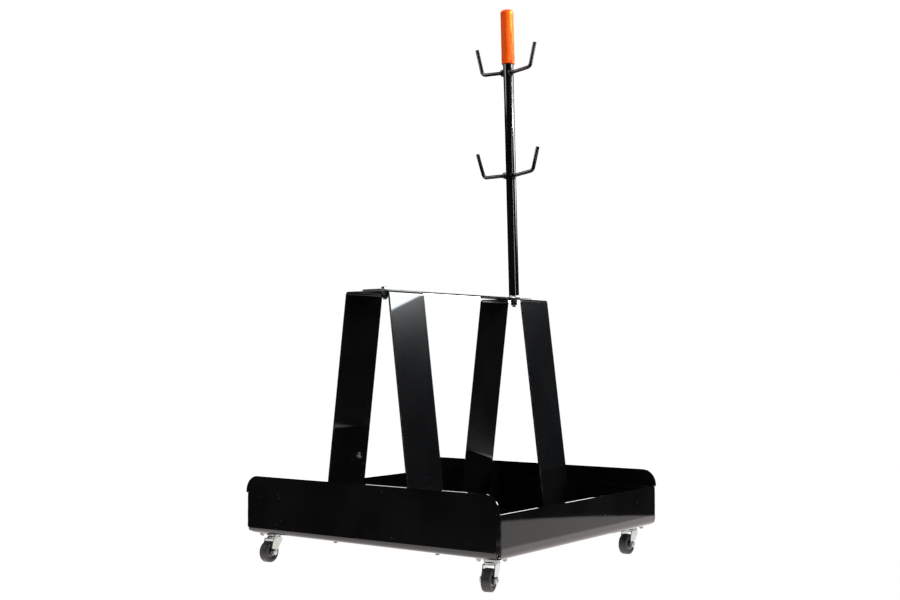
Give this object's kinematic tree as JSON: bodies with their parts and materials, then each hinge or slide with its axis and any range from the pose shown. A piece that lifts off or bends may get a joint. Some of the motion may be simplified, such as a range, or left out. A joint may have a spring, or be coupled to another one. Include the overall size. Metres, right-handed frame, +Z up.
{
  "type": "engine stand",
  "caption": "Rolling engine stand: folded steel tray on swivel casters, bent strip leg frames joined by a flat bar, and a hooked pole with a coloured grip.",
  "frame": {"origin": "on the ground, under the middle of the tray", "axes": "+Z up, +Y from the near leg frame to the pole, +X across the leg frames"},
  "size_m": [0.74, 0.7, 1.4255],
  "materials": {
    "black_powder_coat": "gloss",
    "orange_grip": "soft gloss",
    "bright_zinc": "bright zinc plate",
    "caster_zinc": "bright zinc plate",
    "bearing_steel": "polished",
    "wheel_core": "moulded",
    "tyre_rubber": "matt"
  },
  "bodies": {
    "stand": {"back_caster_kingpin": "bright_zinc", "back_caster_plate": "caster_zinc", "caster_nuts": "bright_zinc", "caster_screws": "bright_zinc", "corner_welds": "black_powder_coat", "foot_bolts": "bright_zinc", "foot_nuts": "bright_zinc", "foot_washers": "bright_zinc", "frame_bolt": "bright_zinc", "frame_nut": "bright_zinc", "frame_washers": "bright_zinc", "front_caster_kingpin": "bright_zinc", "front_caster_plate": "caster_zinc", "grip": "orange_grip", "hook_lower_left": "black_powder_coat", "hook_lower_right": "black_powder_coat", "hook_upper_left": "black_powder_coat", "hook_upper_right": "black_powder_coat", "hook_welds": "black_powder_coat", "left_caster_kingpin": "bright_zinc", "left_caster_plate": "caster_zinc", "leg_frame_far": "black_powder_coat", "leg_frame_near": "black_powder_coat", "pole_base_weld": "black_powder_coat", "pole_stud": "bright_zinc", "pole_tube": "black_powder_coat", "right_caster_kingpin": "bright_zinc", "right_caster_plate": "caster_zinc", "stud_nut": "bright_zinc", "stud_washer": "bright_zinc", "top_bar": "black_powder_coat", "tray": "black_powder_coat"},
    "front_swivel": {"front_caster_balls": "bearing_steel", "front_caster_fork": "caster_zinc", "front_caster_axle_bolt": "bright_zinc", "front_caster_axle_nut": "bright_zinc"},
    "front_wheel": {"front_caster_hub": "wheel_core", "front_caster_tyre": "tyre_rubber"},
    "left_swivel": {"left_caster_balls": "bearing_steel", "left_caster_fork": "caster_zinc", "left_caster_axle_bolt": "bright_zinc", "left_caster_axle_nut": "bright_zinc"},
    "left_wheel": {"left_caster_hub": "wheel_core", "left_caster_tyre": "tyre_rubber"},
    "right_swivel": {"right_caster_balls": "bearing_steel", "right_caster_fork": "caster_zinc", "right_caster_axle_bolt": "bright_zinc", "right_caster_axle_nut": "bright_zinc"},
    "right_wheel": {"right_caster_hub": "wheel_core", "right_caster_tyre": "tyre_rubber"},
    "back_swivel": {"back_caster_balls": "bearing_steel", "back_caster_fork": "caster_zinc", "back_caster_axle_bolt": "bright_zinc", "back_caster_axle_nut": "bright_zinc"},
    "back_wheel": {"back_caster_hub": "wheel_core", "back_caster_tyre": "tyre_rubber"}
  },
  "joints": [
    {"name": "front_caster_swivel", "type": "hinge", "parent": "stand", "child": "front_swivel", "pos_m": [0.32, -0.305, 0.056], "axis": [0, 0, 1], "continuous": true},
    {"name": "front_wheel_roll", "type": "hinge", "parent": "front_swivel", "child": "front_wheel", "pos_m": [0.32492, -0.32335, 0.025], "axis": [0.9659, 0.2588, 0], "continuous": true},
    {"name": "left_caster_swivel", "type": "hinge", "parent": "stand", "child": "left_swivel", "pos_m": [-0.32, -0.305, 0.056], "axis": [0, 0, 1], "continuous": true},
    {"name": "left_wheel_roll", "type": "hinge", "parent": "left_swivel", "child": "left_wheel", "pos_m": [-0.31851, -0.32394, 0.025], "axis": [0.9969, 0.0785, 0], "continuous": true},
    {"name": "right_caster_swivel", "type": "hinge", "parent": "stand", "child": "right_swivel", "pos_m": [0.32, 0.305, 0.056], "axis": [0, 0, 1], "continuous": true},
    {"name": "right_wheel_roll", "type": "hinge", "parent": "right_swivel", "child": "right_wheel", "pos_m": [0.32, 0.286, 0.025], "axis": [1, 0, 0], "continuous": true},
    {"name": "back_caster_swivel", "type": "hinge", "parent": "stand", "child": "back_swivel", "pos_m": [-0.32, 0.305, 0.056], "axis": [0, 0, 1], "continuous": true},
    {"name": "back_wheel_roll", "type": "hinge", "parent": "back_swivel", "child": "back_wheel", "pos_m": [-0.3167, 0.28629, 0.025], "axis": [0.9848, 0.1736, 0], "continuous": true}
  ]
}
